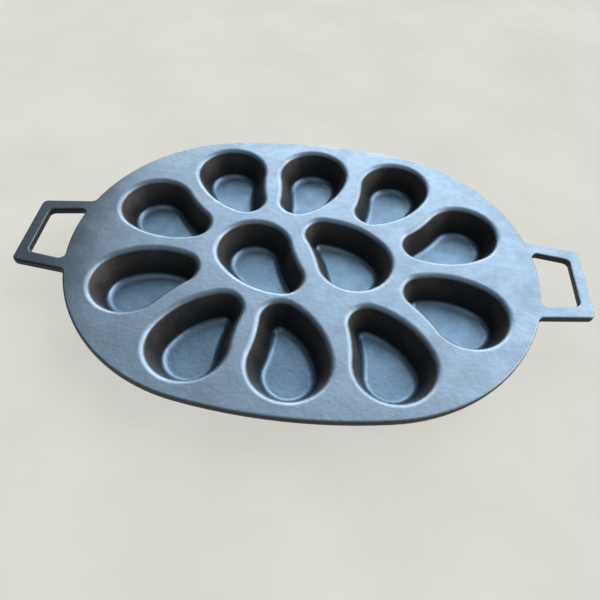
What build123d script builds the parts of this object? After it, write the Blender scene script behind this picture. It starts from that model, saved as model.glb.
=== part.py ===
from build123d import *
from itertools import combinations
from math import cos, radians, sqrt, tan
import os

# An oval cast-iron pan with twelve teardrop cups sunk in a flat plate and a loop handle at each
# end. All of it is one casting. It is drawn as the plate, each cup and each handle on its own, and
# every piece meets its neighbours face to face.
#
# Frame: millimetres, +Z up, +X towards the right-hand handle. The origin is under the middle of
# the pan, on the plane of the cup bottoms that the pan stands on.

# Plate: an oval of two end arcs joined by two long side arcs.
plate_length = 384.0
plate_width = 291.6
side_arc_radius = 436.0
plate_thickness = 6.4
edge_round = 1.6

# Handles: four-sided loops that narrow away from the plate. The root width is taken this far inside
# the plate's end.
handle_root_inside = 12.8
handle_reach = 38.0
handle_root_width = 81.0
handle_tip_width = 69.0
side_bar_width = 10.4
end_bar_width = 9.6
handle_corner_round = 5.0
handle_hole_round = 4.5
handle_root_round = 5.0

# Cup mouth, seen from above: its narrow end points along +X, its right side is full and its left
# side is slightly hollow. Its middle is half way between the centers of the two ends. All its sizes
# are shares of half the plate's width, so a narrower plate has smaller cups.
wide_end_share = 0.2119
narrow_end_share = 0.1118
end_to_end_x_share = 0.2661
end_to_end_y_share = 0.0405
full_side_share = 0.4671
hollow_side_share = 0.7599

# Cup section: walls that lean in to a flat floor, with the metal equally thick all round.
cup_depth = 23.5
wall_lean = 26.0
metal_thickness = 3.5

# Every cup carries a collar of the plate round its mouth. The two nearest collars leave this much
# plate between them, and the rounding of the lip leaves this much of the collar flat.
plate_between_collars = 0.5
flat_beside_lip = 0.1

# The bend between wall and floor takes this share of the floor's narrow end.
floor_round_share = 0.8

# Where the back cups and the two middle cups sit. The mouth's middle is given as a share of half the
# plate's length and of half its width. Then come the way the narrow end points, in degrees, and the
# hand. The left-hand mouth is the one drawn, and the right-hand mouth is its mirror image. The front
# cups mirror the back ones, so they need no numbers of their own.
left_hand = 1
right_hand = -1
cup_back_corner = (-0.6012, 0.2362, -35.8, left_hand)
cup_back_shoulder = (-0.3417, 0.5362, -69.4, left_hand)
cup_back_center = (-0.0281, 0.5736, -97.3, right_hand)
cup_middle_left = (-0.1413, -0.0754, -53.7, left_hand)
cup_middle_right = (0.1507, 0.0946, 126.3, left_hand)

# What follows from the sizes above.
half_length = plate_length / 2
half_width = plate_width / 2
wide_end_radius = wide_end_share * half_width
narrow_end_radius = narrow_end_share * half_width
end_to_end_x = end_to_end_x_share * half_width
end_to_end_y = end_to_end_y_share * half_width
full_side_radius = full_side_share * half_width
hollow_side_radius = hollow_side_share * half_width
side_center_y = side_arc_radius - half_width
end_radius = (side_arc_radius**2 - side_center_y**2 - half_length**2) / (
    2 * (side_arc_radius - half_length)
)
pan_height = cup_depth + metal_thickness
lean_in = tan(radians(wall_lean))
wall_across = metal_thickness / cos(radians(wall_lean))
bend_reach = tan(radians((90.0 - wall_lean) / 2))
floor_narrow_radius = narrow_end_radius - cup_depth * lean_in
floor_round = floor_round_share * floor_narrow_radius / bend_reach
underside_round = floor_round + metal_thickness

# Faces and corners are picked out within this distance of where they are known to be.
pick_within = 0.1


def across_length(place):
    """The same cup mirrored in the pan's long axis."""
    x, y, turn, hand = place
    return (x, -y, -turn, -hand)


def across_width(place):
    """The same cup mirrored in the pan's short axis."""
    x, y, turn, hand = place
    return (-x, y, 180.0 - turn, -hand)


def cup_places():
    """Name and place of every cup, left to right: the back row, the middle, the front row."""
    back = [
        cup_back_corner,
        cup_back_shoulder,
        cup_back_center,
        across_width(cup_back_shoulder),
        across_width(cup_back_corner),
    ]
    places = {f"cup_back_{number}": place for number, place in enumerate(back, 1)}
    places["cup_middle_1"] = cup_middle_left
    places["cup_middle_2"] = cup_middle_right
    for number, place in enumerate(back, 1):
        places[f"cup_front_{number}"] = across_length(place)
    return places


def meeting_point(center_a, reach_a, center_b, reach_b):
    """The point reach_a from center_a and reach_b from center_b, left of the way from a to b."""
    way = (center_b - center_a).normalized()
    gap = (center_b - center_a).length
    along = (reach_a**2 - reach_b**2 + gap**2) / (2 * gap)
    aside = sqrt(reach_a**2 - along**2)
    return center_a + way * along + Vector(-way.Y, way.X) * aside


def arc_about(center, radius, start_way, end_way, middle_way):
    """An arc about center between two directions, through the third."""
    return ThreePointArc(
        center + start_way.normalized() * radius,
        center + middle_way.normalized() * radius,
        center + end_way.normalized() * radius,
    )


def cup_outline(grow):
    """The cup mouth about its middle, moved outward by grow: four arcs that meet without a corner."""
    wide = Vector(-end_to_end_x / 2, -end_to_end_y / 2)
    narrow = Vector(end_to_end_x / 2, end_to_end_y / 2)
    full = meeting_point(
        wide, full_side_radius - wide_end_radius, narrow, full_side_radius - narrow_end_radius
    )
    hollow = meeting_point(
        wide, hollow_side_radius + wide_end_radius, narrow, hollow_side_radius + narrow_end_radius
    )
    wide_end = arc_about(wide, wide_end_radius + grow, hollow - wide, wide - full, Vector(-1, 0))
    full_side = arc_about(
        full,
        full_side_radius + grow,
        wide - full,
        narrow - full,
        (wide - full).normalized() + (narrow - full).normalized(),
    )
    narrow_end = arc_about(
        narrow, narrow_end_radius + grow, narrow - full, hollow - narrow, Vector(1, 0)
    )
    hollow_side = arc_about(
        hollow,
        hollow_side_radius - grow,
        narrow - hollow,
        wide - hollow,
        (narrow - hollow).normalized() + (wide - hollow).normalized(),
    )
    return make_face([wide_end, full_side, narrow_end, hollow_side])


def put_in_place(shape, place):
    """Mirror a left-hand shape if the place asks for it, turn it and move it there."""
    share_x, share_y, turn, hand = place
    if hand == right_hand:
        shape = mirror(shape, about=Plane.XZ)
    return Pos(share_x * half_length, share_y * half_width, 0) * Rot(0, 0, turn) * shape


def narrowest_land():
    """The least flat left between two mouths."""
    mouth = cup_outline(0)
    mouths = [put_in_place(mouth, place) for place in cup_places().values()]
    return min(first.distance_to(second) for first, second in combinations(mouths, 2))


def leaning_block(top_z, top_grow, bottom_z, bottom_grow, bottom_round):
    """A solid with the cup's outline at both levels, straight walls and a rounded bottom edge."""
    top = Pos(0, 0, top_z) * cup_outline(top_grow)
    bottom = Pos(0, 0, bottom_z) * cup_outline(bottom_grow)
    block = loft([bottom, top], ruled=True)
    return fillet(block.faces().sort_by(Axis.Z)[0].edges(), bottom_round)


def cup_solid(collar_width):
    """One left-hand cup with its lip in the plane z = 0."""
    lip_reach = collar_width - flat_beside_lip
    root_grow = wall_across - plate_thickness * lean_in
    collar = extrude(cup_outline(collar_width), -plate_thickness)
    outside = leaning_block(
        -plate_thickness,
        root_grow,
        -pan_height,
        wall_across - pan_height * lean_in,
        underside_round,
    )
    body = collar + outside
    under_collar = body.faces().filter_by_position(
        Axis.Z, -plate_thickness - pick_within, -plate_thickness + pick_within
    )
    root = under_collar[0].inner_wires()[0]
    body = fillet(root.edges(), (lip_reach - root_grow) / bend_reach)
    hollow = leaning_block(0, 0, -cup_depth, -cup_depth * lean_in, floor_round)
    cup = body - hollow
    lip = cup.faces().sort_by(Axis.Z)[-1].inner_wires()[0]
    return fillet(lip.edges(), lip_reach / bend_reach)


def oval_face():
    """The plate's outline: each side arc is tangent to the two end arcs."""
    end_center = Vector(half_length - end_radius, 0)
    joint = end_center + (end_center - Vector(0, -side_center_y)).normalized() * end_radius
    corners = [
        Vector(joint.X, joint.Y),
        Vector(-joint.X, joint.Y),
        Vector(-joint.X, -joint.Y),
        Vector(joint.X, -joint.Y),
    ]
    back = ThreePointArc(corners[0], Vector(0, half_width), corners[1])
    left = ThreePointArc(corners[1], Vector(-half_length, 0), corners[2])
    front = ThreePointArc(corners[2], Vector(0, -half_width), corners[3])
    right = ThreePointArc(corners[3], Vector(half_length, 0), corners[0])
    return make_face([back, left, front, right])


def handle_shape(root_x, root_width, tip_x, tip_width, side):
    """A four-sided shape from inside the plate's edge out to the handle's tip."""
    return make_face(
        Polyline(
            (side * root_x, root_width / 2),
            (side * tip_x, tip_width / 2),
            (side * tip_x, -tip_width / 2),
            (side * root_x, -root_width / 2),
            close=True,
        )
    )


def plan_view():
    """The whole casting seen from above, with its handle holes and without its cups."""
    oval = oval_face()
    plan = oval
    holes = []
    tip_x = half_length + handle_reach
    root_x = half_length - handle_root_inside
    for side in (-1, 1):
        loop = handle_shape(root_x, handle_root_width, tip_x, handle_tip_width, side)
        plan = plan + loop
        hole = handle_shape(
            root_x,
            handle_root_width - 2 * side_bar_width,
            tip_x - end_bar_width,
            handle_tip_width - 2 * side_bar_width,
            side,
        )
        hole = hole - oval
        holes.append(fillet(hole.vertices(), handle_hole_round))
    tips = [v for v in plan.vertices() if abs(v.X) > tip_x - pick_within]
    plan = fillet(tips, handle_corner_round)
    roots = [v for v in plan.vertices() if root_x < abs(v.X) < half_length]
    plan = fillet(roots, handle_root_round)
    return plan - holes[0] - holes[1]


def plate_and_handles():
    """The flat of the casting in one thickness with rounded edges, parted along the oval."""
    flat = extrude(plan_view(), plate_thickness)
    for level in (0, plate_thickness):
        outline = flat.edges().filter_by_position(Axis.Z, level - pick_within, level + pick_within)
        flat = fillet(outline, edge_round)
    oval = extrude(oval_face(), plate_thickness)
    plate = flat & oval
    left, right = (flat - oval).solids().sort_by(Axis.X)
    return plate, left, right


def build_nodes():
    """Every piece of the casting by name, in the pan's own frame."""
    plate, left, right = plate_and_handles()
    collar_width = (narrowest_land() - plate_between_collars) / 2
    cup = Pos(0, 0, pan_height) * cup_solid(collar_width)
    seat = Pos(0, 0, pan_height) * extrude(cup_outline(collar_width), -plate_thickness)
    raise_flat = Pos(0, 0, pan_height - plate_thickness)
    plate = raise_flat * plate
    nodes = {"handle_left": raise_flat * left, "handle_right": raise_flat * right}
    for name, place in cup_places().items():
        plate = plate - put_in_place(seat, place)
        nodes[name] = put_in_place(cup, place)
    nodes["plate"] = plate
    return nodes


os.makedirs("parts", exist_ok=True)
for name, shape in build_nodes().items():
    export_step(shape, f"parts/{name}.step")
    print(f"{name}: {shape.volume / 1000:.1f} cm3")
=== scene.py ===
# %% [markdown]
# # An oyster pan in seasoned cast iron
#
# The pan is one grey-black iron casting: a flat oval plate, twelve teardrop cups sunk in it, and a
# loop handle at each end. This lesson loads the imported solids, lays smooth cup surfaces over them,
# gives every piece its iron finish, and lights it all with a sky that is brightest behind the pan.

import math

import bpy
import numpy as np
from mathutils import Matrix, Vector


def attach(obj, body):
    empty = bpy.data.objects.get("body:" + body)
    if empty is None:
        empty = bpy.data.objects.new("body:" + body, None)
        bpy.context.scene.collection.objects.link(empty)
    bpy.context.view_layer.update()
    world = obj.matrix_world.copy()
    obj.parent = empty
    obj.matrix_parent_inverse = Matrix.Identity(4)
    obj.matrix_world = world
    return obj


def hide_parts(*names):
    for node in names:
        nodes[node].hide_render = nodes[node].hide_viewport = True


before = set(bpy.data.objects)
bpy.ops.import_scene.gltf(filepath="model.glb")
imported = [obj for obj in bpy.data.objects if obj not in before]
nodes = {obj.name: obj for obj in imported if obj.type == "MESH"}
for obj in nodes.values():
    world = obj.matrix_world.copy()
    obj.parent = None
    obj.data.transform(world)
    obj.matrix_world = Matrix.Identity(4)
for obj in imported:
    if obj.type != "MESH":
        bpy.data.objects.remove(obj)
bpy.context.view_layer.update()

# %% [markdown]
# ## The camera
#
# The photo was taken from close by, a little left of straight on, from 52 degrees above the plate.
# All twelve cup mouths are one outline, so lining them up with the photo gives the whole camera:
# what it looks at, how far it stands, its roll and its lens. A camera could also be aimed with a
# Track To constraint, but that leaves out the roll. Setting the camera's three axes from those
# numbers puts it exactly there.

# %% Camera
# Lengths are in metres and angles in radians. The azimuth turns from the pan's back to its right.
PLATE_TOP = 0.027
LOOK_AT = Vector((0.00237, -0.04636, PLATE_TOP))
CAMERA_DISTANCE = 0.42824
CAMERA_AZIMUTH = -0.054389
CAMERA_ELEVATION = 0.915232
CAMERA_ROLL = 0.059207
FOCAL_PIXELS = 557.63
PHOTO_PIXELS = 600.0
SENSOR_MM = 36.0
NEAREST_SEEN = 0.01
FARTHEST_SEEN = 50.0

flat_way = math.cos(CAMERA_ELEVATION)
looking = Vector(
    (
        math.sin(CAMERA_AZIMUTH) * flat_way,
        math.cos(CAMERA_AZIMUTH) * flat_way,
        -math.sin(CAMERA_ELEVATION),
    )
)
level = Vector((math.cos(CAMERA_AZIMUTH), -math.sin(CAMERA_AZIMUTH), 0.0))
above = level.cross(looking)
right = math.cos(CAMERA_ROLL) * level + math.sin(CAMERA_ROLL) * above
top = -math.sin(CAMERA_ROLL) * level + math.cos(CAMERA_ROLL) * above

camera_data = bpy.data.cameras.new("camera")
camera_data.sensor_width = SENSOR_MM
camera_data.lens = FOCAL_PIXELS / PHOTO_PIXELS * SENSOR_MM
camera_data.clip_start = NEAREST_SEEN
camera_data.clip_end = FARTHEST_SEEN
camera = bpy.data.objects.new("camera", camera_data)
camera.matrix_world = Matrix.Translation(LOOK_AT - CAMERA_DISTANCE * looking) @ Matrix(
    (
        (right.x, top.x, -looking.x, 0.0),
        (right.y, top.y, -looking.y, 0.0),
        (right.z, top.z, -looking.z, 0.0),
        (0.0, 0.0, 0.0, 1.0),
    )
)
bpy.context.scene.collection.objects.link(camera)
bpy.context.scene.camera = camera
stands_at = tuple(camera.matrix_world.translation)
print("lens in mm:", round(camera_data.lens, 2), "stands at:", stands_at)

# %% [markdown]
# ## The cup mouth
#
# Every cup has the same mouth: a wide round end and a narrow round end, joined on one side by a
# full arc and on the other by a slightly hollow one. A free curve could be bent to the same look,
# but four arcs that are tangent where they meet can be moved outward together, as a pattern maker
# does with compasses. So one row of points and one row of outward directions describe the mouth at
# any height of the cup.

# %% Values of the mouth, in metres
MM = 0.001
HALF_LENGTH = 192.0 * MM
HALF_WIDTH = 145.8 * MM
WIDE_END_RADIUS = 0.2119 * HALF_WIDTH
NARROW_END_RADIUS = 0.1118 * HALF_WIDTH
END_TO_END = np.array([0.2661, 0.0405]) * HALF_WIDTH
FULL_SIDE_RADIUS = 0.4671 * HALF_WIDTH
HOLLOW_SIDE_RADIUS = 0.7599 * HALF_WIDTH
AROUND = 224
# What the wide end, the full side and the narrow end take of the points. The hollow side has
# the rest.
ARC_SHARES = np.array([0.42, 0.25, 0.19])
print("end radii in mm:", round(WIDE_END_RADIUS / MM, 1), round(NARROW_END_RADIUS / MM, 1))


# %% Mouth outline
def circles_meet(a, reach_a, b, reach_b):
    """The point reach_a from a and reach_b from b, left of the way from a to b."""
    way = (b - a) / np.linalg.norm(b - a)
    gap = np.linalg.norm(b - a)
    along = (reach_a**2 - reach_b**2 + gap**2) / (2 * gap)
    aside = math.sqrt(reach_a**2 - along**2)
    return a + way * along + np.array([-way[1], way[0]]) * aside


def arc_row(centre, radius, start, end, count, hollow=False):
    """Point = centre + radius (cos t, sin t), with t even from the start direction to the end one.

    The outward direction is (cos t, sin t), or its opposite on a hollow arc, which runs clockwise.
    """
    t0 = math.atan2(start[1], start[0])
    turn = (math.atan2(end[1], end[0]) - t0) % (2 * math.pi)
    if hollow:
        turn -= 2 * math.pi
    t = t0 + turn * np.arange(count) / count
    spoke = np.stack([np.cos(t), np.sin(t)], axis=1)
    return centre + radius * spoke, -spoke if hollow else spoke


def cup_mouth(count):
    """Points round the mouth and the outward direction at each: four tangent arcs, end to end."""
    wide, narrow = -END_TO_END / 2, END_TO_END / 2
    full = circles_meet(
        wide, FULL_SIDE_RADIUS - WIDE_END_RADIUS, narrow, FULL_SIDE_RADIUS - NARROW_END_RADIUS
    )
    hollow = circles_meet(
        wide, HOLLOW_SIDE_RADIUS + WIDE_END_RADIUS, narrow, HOLLOW_SIDE_RADIUS + NARROW_END_RADIUS
    )
    share = np.round(count * ARC_SHARES).astype(int)
    rest = count - share.sum()
    rows = [
        arc_row(wide, WIDE_END_RADIUS, hollow - wide, wide - full, share[0]),
        arc_row(full, FULL_SIDE_RADIUS, wide - full, narrow - full, share[1]),
        arc_row(narrow, NARROW_END_RADIUS, narrow - full, hollow - narrow, share[2]),
        arc_row(hollow, HOLLOW_SIDE_RADIUS, narrow - hollow, wide - hollow, rest, hollow=True),
    ]
    return np.concatenate([r[0] for r in rows]), np.concatenate([r[1] for r in rows])


mouth_points, mouth_outward = cup_mouth(AROUND)
print("mouth length in mm:", round(np.ptp(mouth_points[:, 0]) / MM, 1))

# %% [markdown]
# ## The cup's section
#
# Cut a cup anywhere and the cut is the same: flat collar, rounded lip, wall leaning in, fillet,
# flat floor, and the same shape again a wall's thickness below. Bevel and Solidify modifiers could
# round and thicken a plain cup. Worked out from its radii instead, the section is exact, and it is
# a row of pairs (distance out from the mouth, height from the plate's top).

# %% Values of the section, in metres and radians
# The solid cups have the same sizes, so the skins cover them exactly.
CUP_DEPTH = 23.5 * MM
WALL_LEAN = math.radians(26.0)
METAL = 3.5 * MM
PLATE_THICKNESS = 6.4 * MM
LIP_ROUND = 5.330 * MM
FLOOR_ROUND = 6.195 * MM
UNDERSIDE_ROUND = FLOOR_ROUND + METAL
ROOT_ROUND = 4.094 * MM
COLLAR = 3.431 * MM
QUARTER_TURN = math.pi / 2
print("pan height in mm:", round((CUP_DEPTH + METAL) / MM, 1))


# %% Section
def round_row(centre, radius, start, end, count=9):
    """Point = centre + radius (cos t, sin t), t even from start to end, in radians."""
    t = np.linspace(start, end, count)
    return np.stack([centre[0] + radius * np.cos(t), centre[1] + radius * np.sin(t)], axis=1)


def cup_section():
    """Pairs (out, up) from the floor's edge over the lip and down to the bottom's edge.

    A round of radius r reaches r tan(half the turn) from the corner that it rounds.
    """
    slope = math.tan(WALL_LEAN)
    tangent = math.tan((QUARTER_TURN - WALL_LEAN) / 2)
    wall_normal = math.pi - WALL_LEAN
    floor_middle = (-CUP_DEPTH * slope - FLOOR_ROUND * tangent, FLOOR_ROUND - CUP_DEPTH)
    floor = round_row(floor_middle, FLOOR_ROUND, 3 * QUARTER_TURN, 2 * math.pi - WALL_LEAN)
    lip = round_row((LIP_ROUND * tangent, -LIP_ROUND), LIP_ROUND, wall_normal, QUARTER_TURN)
    across = METAL / math.cos(WALL_LEAN)
    root_out = across - PLATE_THICKNESS * slope + ROOT_ROUND * tangent
    root_middle = (root_out, -PLATE_THICKNESS - ROOT_ROUND)
    root = round_row(root_middle, ROOT_ROUND, QUARTER_TURN, wall_normal)
    bottom_up = -CUP_DEPTH - METAL
    bottom_out = across + bottom_up * slope - UNDERSIDE_ROUND * tangent
    bottom_middle = (bottom_out, bottom_up + UNDERSIDE_ROUND)
    bottom = round_row(bottom_middle, UNDERSIDE_ROUND, -WALL_LEAN, -QUARTER_TURN)
    collar = np.array([[COLLAR, 0.0], [COLLAR, -PLATE_THICKNESS]])
    return np.concatenate([floor, lip, collar, root, bottom])


section = cup_section()
print("points in the section:", len(section), "height in mm:", round(np.ptp(section[:, 1]) / MM, 1))

# %% [markdown]
# ## The cup's skin
#
# The section carried round the mouth makes the whole skin of a cup. One cup could be modelled,
# copied and turned, but a piece's place belongs in its mesh, so each skin is worked out in place.
# The floor and the bottom close on one point each, a little towards the wide end.

# %% Skin
FLOOR_POLE = np.array([-6.4, -1.0]) * MM
SHARP_FROM = math.radians(50.0)


def cup_faces(rows, count, flipped):
    """Faces of a closed grid of rows by count points, with its two poles as the last two points.

    Point (r, k) has the number r count + k, and k runs round and meets itself again.
    """
    here = np.arange(count)
    there = (here + 1) % count
    row = np.arange(rows - 1)[:, None] * count
    quads = np.stack([row + here, row + there, row + count + there, row + count + here], axis=2)
    last = (rows - 1) * count
    floor_pole = np.full(count, rows * count)
    floor_fan = np.stack([there, here, floor_pole], axis=1)
    bottom_fan = np.stack([last + here, last + there, floor_pole + 1], axis=1)
    groups = [quads.reshape(-1, 4), floor_fan, bottom_fan]
    if flipped:
        groups = [group[:, ::-1] for group in groups]
    return [face for group in groups for face in group.tolist()]


def cup_skin(place):
    """Surface S(u, v) = mouth(u) + out(v) * outward(u), at height up(v), turned and moved to place.

    A right-hand cup is the mirror image in its own long direction, and its faces are turned over.
    """
    x, y, turn, hand = place
    across = mouth_points[None] + section[:, 0, None, None] * mouth_outward[None]
    up = np.broadcast_to(section[:, 1, None], across.shape[:2])
    grid = np.concatenate([across, up[..., None]], axis=2)
    rows, count = grid.shape[:2]
    poles = np.array([[*FLOOR_POLE, section[0, 1]], [*FLOOR_POLE, section[-1, 1]]])
    points = np.concatenate([grid.reshape(-1, 3), poles])
    points[:, 1] *= hand
    c, s = math.cos(math.radians(turn)), math.sin(math.radians(turn))
    middle = [x * HALF_LENGTH, y * HALF_WIDTH, PLATE_TOP]
    placed = points @ np.array([[c, s, 0], [-s, c, 0], [0, 0, 1]]) + middle
    return placed, cup_faces(rows, count, hand < 0)


def smooth_piece(name, points, faces):
    """A mesh object at the origin, smooth but for edges that turn by more than SHARP_FROM."""
    mesh = bpy.data.meshes.new(name)
    mesh.from_pydata(points.tolist(), [], faces)
    mesh.validate()
    mesh.shade_smooth()
    mesh.set_sharp_from_angle(angle=SHARP_FROM)
    piece = bpy.data.objects.new(name, mesh)
    bpy.context.scene.collection.objects.link(piece)
    return piece


print("points in a skin:", len(section) * AROUND + 2)

# %% [markdown]
# ## Twelve cups
#
# The front row mirrors the back row, so only three back cups and the two middle cups have numbers
# of their own. A place is a share of half the plate's length and of half its width, the way the
# narrow end points in degrees, and the hand. Mirror modifiers could make the other cups, but every
# cup is a piece with its own name, so plain functions mirror the places.

# %% Place the cups
LEFT_HAND, RIGHT_HAND = 1, -1
BACK_HALF = [
    (-0.6012, 0.2362, -35.8, LEFT_HAND),
    (-0.3417, 0.5362, -69.4, LEFT_HAND),
    (-0.0281, 0.5736, -97.3, RIGHT_HAND),
]
MIDDLE = [(-0.1413, -0.0754, -53.7, LEFT_HAND), (0.1507, 0.0946, 126.3, LEFT_HAND)]


def across_width(place):
    """The same cup mirrored left to right."""
    x, y, turn, hand = place
    return -x, y, 180.0 - turn, -hand


def across_length(place):
    """The same cup mirrored back to front."""
    x, y, turn, hand = place
    return x, -y, -turn, -hand


back_row = BACK_HALF + [across_width(BACK_HALF[1]), across_width(BACK_HALF[0])]
cup_places = {f"cup_back_{i}": p for i, p in enumerate(back_row, 1)}
cup_places.update({f"cup_middle_{i}": p for i, p in enumerate(MIDDLE, 1)})
cup_places.update({f"cup_front_{i}": across_length(p) for i, p in enumerate(back_row, 1)})

cups = []
for name, place in cup_places.items():
    cup = smooth_piece(name + "_skin", *cup_skin(place))
    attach(cup, "root")
    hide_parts(name)
    cups.append(cup)
print("cups:", len(cups), "faces each:", len(cups[0].data.polygons))

# %% [markdown]
# ## Cast iron as a finish
#
# Sand casting leaves a fine grain all over. Scouring rubs the flats, the lips and the cup floors to
# a satin grey that mirrors the sky softly. Oil bakes to a brown coat on the steep walls, where
# nothing rubs. Painted shade darkens the cup floors, turns the walls low in the cups and the outer
# edge near black, and darkens the left-hand handle and the end of the plate beside it.
# All this could be painted on an image, but it follows from height, slope and place. So four node
# groups work it out, and the materials choose the colours.


# %% Node helpers
def new_group(name, inputs, outputs):
    """A shader node group with float inputs {name: value} and outputs {name: socket type}."""
    group = bpy.data.node_groups.new(name, "ShaderNodeTree")
    for label, value in inputs.items():
        socket = group.interface.new_socket(label, in_out="INPUT", socket_type="NodeSocketFloat")
        socket.default_value = value
    for label, kind in outputs.items():
        group.interface.new_socket(label, in_out="OUTPUT", socket_type=kind)
    return group, group.nodes.new("NodeGroupInput"), group.nodes.new("NodeGroupOutput")


def noise(tree, scale, detail=2.0, roughness=0.5):
    """Noise on Object coordinates, in cycles per metre, with every piece at the origin."""
    place = tree.nodes.new("ShaderNodeTexCoord")
    texture = tree.nodes.new("ShaderNodeTexNoise")
    texture.inputs["Scale"].default_value = scale
    texture.inputs["Detail"].default_value = detail
    texture.inputs["Roughness"].default_value = roughness
    tree.links.new(place.outputs["Object"], texture.inputs["Vector"])
    return texture.outputs["Fac"]


def axis(tree, axis_name):
    """One Object coordinate, in metres."""
    place = tree.nodes.new("ShaderNodeTexCoord")
    parts = tree.nodes.new("ShaderNodeSeparateXYZ")
    tree.links.new(place.outputs["Object"], parts.inputs["Vector"])
    return parts.outputs[axis_name]


def remap(tree, value, low, high, to_low=0.0, to_high=1.0):
    """to_low below low, to_high above high, and t^2 (3 - 2t) of the way between them."""
    node = tree.nodes.new("ShaderNodeMapRange")
    node.interpolation_type = "SMOOTHSTEP"
    tree.links.new(value, node.inputs["Value"])
    labels = ("From Min", "From Max", "To Min", "To Max")
    for label, number in zip(labels, (low, high, to_low, to_high)):
        node.inputs[label].default_value = number
    return node.outputs["Result"]


def calculate(tree, operation, a, b):
    """One Math node; a and b are sockets or numbers."""
    node = tree.nodes.new("ShaderNodeMath")
    node.operation = operation
    for socket, value in zip(node.inputs, (a, b)):
        if isinstance(value, (int, float)):
            socket.default_value = value
        else:
            tree.links.new(value, socket)
    return node.outputs[0]


def blend_colour(tree, factor, first, second):
    """The first colour where factor is 0 and the second where it is 1."""
    node = tree.nodes.new("ShaderNodeMix")
    node.data_type = "RGBA"
    tree.links.new(factor, node.inputs["Factor"])
    for socket, value in ((node.inputs[6], first), (node.inputs[7], second)):
        if isinstance(value, tuple):
            socket.default_value = (*value, 1.0)
        else:
            tree.links.new(value, socket)
    return node.outputs[2]


# %% [markdown]
# ## Sand grain
#
# The mould's sand prints its grains on the iron, finer and coarser ones, and the casting is never
# quite flat. Sculpting that would take millions of faces, so three noises make one height for the
# bump. Their scales are in cycles per metre, so the grain is the same size on every piece.

# %% Grain group
FINE_SCALE, FINE_DETAIL, FINE_WEIGHT = 430.0, 2.0, 0.6
COARSE_SCALE, COARSE_DETAIL, COARSE_WEIGHT = 260.0, 1.0, 0.8
WAVE_SCALE, WAVE_DETAIL, WAVE_WEIGHT = 22.0, 1.0, 12.0


def sand_grain_group():
    """Height = Grain (fine noise and coarse noise) + Waviness (slow noise), each weighted."""
    group, given, out = new_group(
        "sand_cast_grain", {"Grain": 1.0, "Waviness": 1.0}, {"Height": "NodeSocketFloat"}
    )
    fine = noise(group, FINE_SCALE, FINE_DETAIL)
    coarse = noise(group, COARSE_SCALE, COARSE_DETAIL)
    slow = noise(group, WAVE_SCALE, WAVE_DETAIL)
    fine = calculate(group, "MULTIPLY", fine, FINE_WEIGHT)
    coarse = calculate(group, "MULTIPLY", coarse, COARSE_WEIGHT)
    grain = calculate(group, "ADD", fine, coarse)
    grain = calculate(group, "MULTIPLY", grain, given.outputs["Grain"])
    wave = calculate(group, "MULTIPLY", slow, given.outputs["Waviness"])
    wave = calculate(group, "MULTIPLY", wave, WAVE_WEIGHT)
    group.links.new(calculate(group, "ADD", grain, wave), out.inputs["Height"])
    return group


grain_group = sand_grain_group()
print("node group:", grain_group.name)

# %% [markdown]
# ## Rubbed flats, depth and painted low shade
#
# A scourer reaches what faces up, and misses the walls. The floors of the cups are rubbed too.
# Down in the cups the colour holds painted shade: darker floors, and walls near black low down.
# One group gives all three as masks.
# They could be painted by hand on each piece, but from height and slope they stay right on any cup.

# %% Rubbed group
# The upward share of the normal where rubbing starts and where it is complete.
RUBBED_FROM, RUBBED_FULL = 0.43, 0.74
BLOTCH_SCALE, BLOTCH_DETAIL, BLOTCH_LOW, BLOTCH_HIGH = 55.0, 3.0, 0.35, 0.7
# Distances below the plate's top, in metres.
DEPTH_FROM, DEPTH_FULL = 2.0 * MM, 8.0 * MM
# The walls are painted near black, as shade, from the first depth to the second.
LOW_SHADE_FROM, LOW_SHADE_FULL = 3.0 * MM, 19.0 * MM
LOW_SHADE_SCALE, LOW_SHADE_DETAIL, LOW_SHADE_RAGGED = 80.0, 4.0, 10.0 * MM
NOISE_MIDDLE = 0.5


def rubbed_group():
    """Mask = 1 where the surface tilts under 42 degrees, 0 over 65 degrees, thinned by blotches.

    Depth = 0 on the plate's top and 1 from eight millimetres below it, and places the painted shade
    of the cup floors. The third mask, painted shade, goes from 0 just under the lip to 1 near the
    floor of a cup, at a level that noise shifts up and down.
    """
    outputs = {"Mask": "NodeSocketFloat", "Depth": "NodeSocketFloat", "Low Shade": "NodeSocketFloat"}
    group, given, out = new_group("rubbed_flats", {"Blotches": 0.3}, outputs)
    facing = group.nodes.new("ShaderNodeNewGeometry")
    parts = group.nodes.new("ShaderNodeSeparateXYZ")
    group.links.new(facing.outputs["Normal"], parts.inputs["Vector"])
    upward = remap(group, parts.outputs["Z"], RUBBED_FROM, RUBBED_FULL)
    blotch = remap(group, noise(group, BLOTCH_SCALE, BLOTCH_DETAIL), BLOTCH_LOW, BLOTCH_HIGH)
    missed = calculate(group, "MULTIPLY", blotch, given.outputs["Blotches"])
    worn = calculate(group, "SUBTRACT", 1.0, missed)
    group.links.new(calculate(group, "MULTIPLY", upward, worn), out.inputs["Mask"])
    height = axis(group, "Z")
    deep = remap(group, height, PLATE_TOP - DEPTH_FULL, PLATE_TOP - DEPTH_FROM, 1.0, 0.0)
    group.links.new(deep, out.inputs["Depth"])
    # Painted shade: darker towards the floor of a cup, at a level that noise makes ragged.
    up_or_down = noise(group, LOW_SHADE_SCALE, LOW_SHADE_DETAIL)
    up_or_down = calculate(group, "SUBTRACT", up_or_down, NOISE_MIDDLE)
    ragged = calculate(group, "MULTIPLY", up_or_down, LOW_SHADE_RAGGED)
    shifted = calculate(group, "ADD", height, ragged)
    low_shade = remap(group, shifted, PLATE_TOP - LOW_SHADE_FULL, PLATE_TOP - LOW_SHADE_FROM, 1.0, 0.0)
    group.links.new(low_shade, out.inputs["Low Shade"])
    return group


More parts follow.
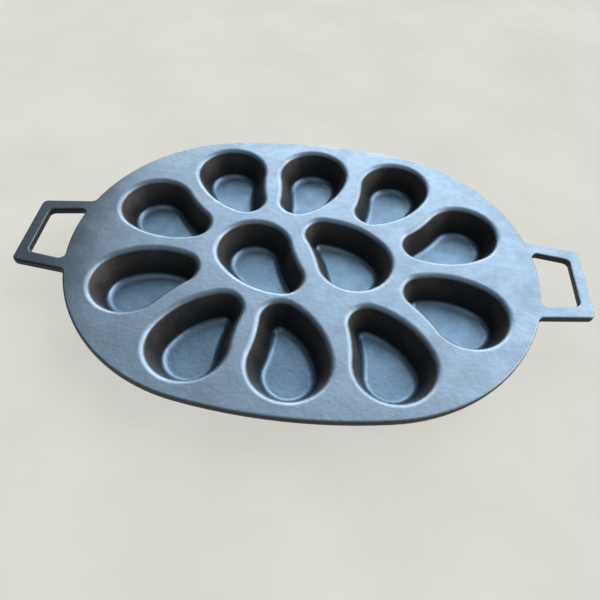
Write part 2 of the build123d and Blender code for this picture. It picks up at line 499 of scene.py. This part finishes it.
rub_group = rubbed_group()
print("node group:", rub_group.name)

# %% [markdown]
# ## Seasoning
#
# Oil baked on over years is never one tone. A slow noise moves the colour between two shades, and a
# finer one moves the gloss a little. Both are plain noises, because baked oil has no direction.

# %% Seasoning group
TONE_SCALE, TONE_DETAIL, GLOSS_SCALE, GLOSS_DETAIL = 30.0, 4.0, 140.0, 3.0
SEASONING_ROUGHNESS = 0.6
# Noise stays mostly within these two values, so they are spread to the whole range.
NOISE_LOW, NOISE_HIGH = 0.3, 0.7


def seasoning_group():
    """Tone = slow noise 0..1. Roughness = the given Roughness + Spread (finer noise -1..1)."""
    outputs = {"Tone": "NodeSocketFloat", "Roughness": "NodeSocketFloat"}
    group, given, out = new_group("seasoning", {"Roughness": 0.4, "Spread": 0.1}, outputs)
    slow = noise(group, TONE_SCALE, TONE_DETAIL, SEASONING_ROUGHNESS)
    fine = noise(group, GLOSS_SCALE, GLOSS_DETAIL, SEASONING_ROUGHNESS)
    tone = remap(group, slow, NOISE_LOW, NOISE_HIGH)
    fine = remap(group, fine, NOISE_LOW, NOISE_HIGH, -1.0, 1.0)
    spread = calculate(group, "MULTIPLY", fine, given.outputs["Spread"])
    gloss = calculate(group, "ADD", given.outputs["Roughness"], spread)
    group.links.new(tone, out.inputs["Tone"])
    group.links.new(gloss, out.inputs["Roughness"])
    return group


season_group = seasoning_group()
print("node group:", season_group.name)

# %% [markdown]
# ## Painted shade on the left-hand end
#
# The left-hand handle and the end of the plate beside it are painted darker, as painted shade.
# The edge of that shade is a place along the pan that a noise shifts, so it is ragged.

# %% Left-hand shade group
# Places along the pan, in metres, before the noise shifts them: painted shade up to the first,
# and none from the second.
SHADED_TO, UNSHADED_FROM = -186.0 * MM, -125.0 * MM
LEFT_SHADE_SCALE, LEFT_SHADE_DETAIL, LEFT_SHADE_RAGGED = 45.0, 3.0, 30.0 * MM


def left_end_shade_group():
    """Painted shade: 1 on the left handle, easing to 0 over the plate's end, with a ragged edge."""
    group, _, out = new_group("left_end_shade", {}, {"Mask": "NodeSocketFloat"})
    ragged = calculate(group, "MULTIPLY", noise(group, LEFT_SHADE_SCALE, LEFT_SHADE_DETAIL), LEFT_SHADE_RAGGED)
    shifted = calculate(group, "ADD", axis(group, "X"), ragged)
    group.links.new(remap(group, shifted, SHADED_TO, UNSHADED_FROM, 1.0, 0.0), out.inputs["Mask"])
    return group


left_shade_group = left_end_shade_group()
print("node group:", left_shade_group.name)

# %% [markdown]
# ## Two iron materials
#
# The plate and the handles share one material. The cups have another, with a paler brown coat under
# the lip and a floor painted darker as shade. One material for the whole pan would do for a sketch,
# but the outer edge is baked oil painted near black as shade, where the cups keep a brown coat. Both
# read the same groups on Object coordinates, and both have the same flats, so the finish runs on
# over every seam.

# %% Values of the iron
# Each pair is a dark and a pale tone: rubbed metal on top, rubbed metal down in the cups that is
# darker as painted shade, and baked oil on the outer edge, painted near black as shade, and in the
# cups.
HIGH = (0.285, 0.35, 0.425), (0.315, 0.39, 0.475)
# Rubbed metal down in the cups, darker as painted shade.
DEEP_SHADED = (0.19, 0.272, 0.36), (0.225, 0.313, 0.415)
# Baked oil on the outer edge, painted near black as shade.
SHADED_EDGE_COAT = (0.008, 0.0075, 0.007), (0.020, 0.017, 0.014)
CUP_COAT = (0.024, 0.0205, 0.0175), (0.088, 0.071, 0.058)
# Painted shade, near black, low on the walls of the cups.
LOW_SHADE_BLACK = (0.011, 0.0095, 0.0085)
# Painted shade on the left-hand handle and the end of the plate.
LEFT_END_SHADE = (0.112, 0.13, 0.15)
IRON_ROUGHNESS = 0.46
ROUGHNESS_SPREAD = 0.04
SMOOTHER_WHEN_DEEP = 0.06
BLOTCHES = 0.10
COAT_SPECULAR = 0.3
GRAIN, WAVINESS = 4.0, 1.0
BUMP_STRENGTH = 0.6
BUMP_DISTANCE = 0.06 * MM


# %% Iron
def use_group(tree, group, **values):
    """Place a group in a material and set its inputs."""
    node = tree.nodes.new("ShaderNodeGroup")
    node.node_tree = group
    for label, value in values.items():
        node.inputs[label].default_value = value
    return node


def cast_iron(name, high, deep, coat):
    """Satin metal where rubbed, baked oil elsewhere, painted shade, and grain in the normal.

    The rubbed metal has the high tones on top and the deep ones down in the cups, which are darker
    as painted shade. Painted shade also turns the walls near black low in the cups, and darkens the
    left-hand end. Each of high, deep and coat is a dark and a pale tone that the seasoning blends.
    """
    material = bpy.data.materials.new(name)
    material.use_nodes = True
    tree = material.node_tree
    shader = tree.nodes["Principled BSDF"]
    season = use_group(tree, season_group, Roughness=IRON_ROUGHNESS, Spread=ROUGHNESS_SPREAD)
    rub = use_group(tree, rub_group, Blotches=BLOTCHES)
    left_shade = use_group(tree, left_shade_group)
    on_top = blend_colour(tree, season.outputs["Tone"], *high)
    # Painted shade: the deep tones darken the cup floors.
    shaded_below = blend_colour(tree, season.outputs["Tone"], *deep)
    coat_and_shade = blend_colour(tree, season.outputs["Tone"], *coat)
    # Painted shade: the walls go near black low in the cups.
    coat_and_shade = blend_colour(tree, rub.outputs["Low Shade"], coat_and_shade, LOW_SHADE_BLACK)
    rubbed_and_shaded = blend_colour(tree, rub.outputs["Depth"], on_top, shaded_below)
    # Painted shade: the left-hand handle and the plate's end turn darker.
    with_left_shade = blend_colour(tree, left_shade.outputs["Mask"], rubbed_and_shaded, LEFT_END_SHADE)
    colour = blend_colour(tree, rub.outputs["Mask"], coat_and_shade, with_left_shade)
    tree.links.new(colour, shader.inputs["Base Color"])
    tree.links.new(rub.outputs["Mask"], shader.inputs["Metallic"])
    smoother = calculate(tree, "MULTIPLY", rub.outputs["Depth"], SMOOTHER_WHEN_DEEP)
    roughness = calculate(tree, "SUBTRACT", season.outputs["Roughness"], smoother)
    tree.links.new(roughness, shader.inputs["Roughness"])
    shader.inputs["Specular IOR Level"].default_value = COAT_SPECULAR
    height = use_group(tree, grain_group, Grain=GRAIN, Waviness=WAVINESS)
    lift = tree.nodes.new("ShaderNodeBump")
    lift.inputs["Strength"].default_value = BUMP_STRENGTH
    lift.inputs["Distance"].default_value = BUMP_DISTANCE
    tree.links.new(height.outputs["Height"], lift.inputs["Height"])
    tree.links.new(lift.outputs["Normal"], shader.inputs["Normal"])
    return material


plate_iron = cast_iron("plate_iron", HIGH, HIGH, SHADED_EDGE_COAT)
cup_iron = cast_iron("cup_iron", HIGH, DEEP_SHADED, CUP_COAT)
for name in ("plate", "handle_left", "handle_right"):
    nodes[name].data.materials.clear()
    nodes[name].data.materials.append(plate_iron)
for cup in cups:
    cup.data.materials.append(cup_iron)
print("materials:", plate_iron.name, cup_iron.name)

# %% [markdown]
# ## Floor
#
# The pan lies on plain pale stone. A lit white plane would do, but only under a sky so strong that
# the iron loses its colours. So the stone mixes in an emission of its own colour, for what looks at
# it straight on or mirrored in the iron, and the background stays pale under a plain sky. It still
# takes a share of the pan's shadow. It lies a hair under the cups, so that no two faces coincide.

# %% Floor
FLOOR_HALF = 6.0
FLOOR_HEIGHT = -0.2 * MM


def pale_floor(half, height):
    """A square at the given height, z = height for all x and y."""
    across = np.array([-half, half, half, -half])
    along = np.array([-half, -half, half, half])
    corners = np.stack([across, along, np.full(4, height)], axis=1)
    floor = smooth_piece("floor", corners, [[0, 1, 2, 3]])
    return floor


floor = pale_floor(FLOOR_HALF, FLOOR_HEIGHT)
print("floor:", 2 * FLOOR_HALF, "m wide, at a height in mm of", FLOOR_HEIGHT / MM)

# %% Stone
STONE_DARK, STONE_PALE = (0.73, 0.72, 0.655), (0.78, 0.77, 0.705)
CLOUD_SCALE, CLOUD_DETAIL, CLOUD_ROUGHNESS = 9.0, 4.0, 0.55
STONE_ROUGHNESS = 0.9
STONE_SPECULAR = 0.1
OWN_COLOUR_SHARE = 0.8

stone_material = bpy.data.materials.new("pale_stone")
stone_material.use_nodes = True
stone_tree = stone_material.node_tree
stone_shader = stone_tree.nodes["Principled BSDF"]
stone_shader.inputs["Roughness"].default_value = STONE_ROUGHNESS
stone_shader.inputs["Specular IOR Level"].default_value = STONE_SPECULAR
cloud = noise(stone_tree, CLOUD_SCALE, CLOUD_DETAIL, CLOUD_ROUGHNESS)
cloud = remap(stone_tree, cloud, NOISE_LOW, NOISE_HIGH)
stone = blend_colour(stone_tree, cloud, STONE_DARK, STONE_PALE)
stone_tree.links.new(stone, stone_shader.inputs["Base Color"])
glow = stone_tree.nodes.new("ShaderNodeEmission")
stone_tree.links.new(stone, glow.inputs["Color"])
ray = stone_tree.nodes.new("ShaderNodeLightPath")
seen = calculate(stone_tree, "MAXIMUM", ray.outputs["Is Camera Ray"], ray.outputs["Is Glossy Ray"])
share = calculate(stone_tree, "MULTIPLY", seen, OWN_COLOUR_SHARE)
both = stone_tree.nodes.new("ShaderNodeMixShader")
stone_tree.links.new(share, both.inputs[0])
stone_tree.links.new(stone_shader.outputs[0], both.inputs[1])
stone_tree.links.new(glow.outputs[0], both.inputs[2])
stone_tree.links.new(both.outputs[0], stone_tree.nodes["Material Output"].inputs["Surface"])
floor.data.materials.append(stone_material)
print("material:", stone_material.name)

# %% [markdown]
# ## Sky
#
# Satin iron shows whatever part of the sky it mirrors. Here the sky is brightest low down behind
# the pan, bright to the right, and dim on the left and behind the viewer. That makes the plate fade
# from slate on the left to pale blue on the right, puts a bright line on the near lips and leaves
# the far walls dark. Area lamps could do it, but each would show a hard edge in the lips. A few
# soft patches, added up, make such a sky from directions alone. It is nearly white at the horizon,
# warmer there on the right, and bluer higher up.

# %% Values of the sky
# Azimuth clockwise from the pan's back, elevation and reach, all in degrees, and strength.
SKY_PATCHES = [
    (0.0, 10.0, 30.0, 3.5),
    (60.0, 10.0, 30.0, 0.8),
    (85.0, 20.0, 35.0, 2.0),
    (-75.0, 35.0, 30.0, 0.05),
    (-17.0, 35.0, 30.0, 1.2),
    (15.0, 35.0, 30.0, 1.38),
    (45.0, 35.0, 30.0, 2.0),
    (75.0, 35.0, 30.0, 1.2),
    (20.0, 65.0, 28.0, 0.28),
    (-160.0, 67.0, 35.0, 0.30),
    (180.0, 45.0, 55.0, 0.10),
]
EVEN_LIGHT = 0.025
HAZE_TINT = (0.93, 1.0, 1.03)
WARM_TINT = (1.12, 1.0, 0.86)
BLUE_TINT = (0.845, 1.0, 1.12)
# The sideways and the upward share of a direction, where a tint starts and where it is full.
WARM_FROM, WARM_FULL = 0.10, 0.80
BLUE_FROM, BLUE_FULL = 0.25, 0.65
BACKGROUND_COLOUR = (0.75, 0.745, 0.69)
BACKGROUND_STRENGTH = 1.0


# %% Sky
def soft_patch(tree, direction, azimuth, elevation, reach, strength):
    """Strength at the patch's middle, easing to nothing where the angle from it is the reach."""
    a, e = math.radians(azimuth), math.radians(elevation)
    middle = (math.sin(a) * math.cos(e), math.cos(a) * math.cos(e), math.sin(e))
    nearness = tree.nodes.new("ShaderNodeVectorMath")
    nearness.operation = "DOT_PRODUCT"
    tree.links.new(direction, nearness.inputs[0])
    nearness.inputs[1].default_value = middle
    edge = math.cos(math.radians(reach))
    return remap(tree, nearness.outputs["Value"], edge, 1.0, 0.0, strength)


world = bpy.data.worlds.new("sky")
bpy.context.scene.world = world
world.use_nodes = True
sky = world.node_tree
background = sky.nodes["Background"]
direction = sky.nodes.new("ShaderNodeTexCoord").outputs["Generated"]
strength = EVEN_LIGHT
for patch in SKY_PATCHES:
    strength = calculate(sky, "ADD", soft_patch(sky, direction, *patch), strength)
toward = sky.nodes.new("ShaderNodeSeparateXYZ")
sky.links.new(direction, toward.inputs["Vector"])
warmth = remap(sky, toward.outputs["X"], WARM_FROM, WARM_FULL)
blueness = remap(sky, toward.outputs["Z"], BLUE_FROM, BLUE_FULL)
low_sky = blend_colour(sky, warmth, HAZE_TINT, WARM_TINT)
tint = blend_colour(sky, blueness, low_sky, BLUE_TINT)

# %% What the camera sees of it
eye = sky.nodes.new("ShaderNodeLightPath").outputs["Is Camera Ray"]
sky.links.new(blend_colour(sky, eye, tint, BACKGROUND_COLOUR), background.inputs["Color"])
shown = sky.nodes.new("ShaderNodeMix")
sky.links.new(eye, shown.inputs[0])
sky.links.new(strength, shown.inputs[2])
shown.inputs[3].default_value = BACKGROUND_STRENGTH
sky.links.new(shown.outputs[0], background.inputs["Strength"])
bpy.context.scene.view_settings.view_transform = "Standard"
print("sky patches:", len(SKY_PATCHES))
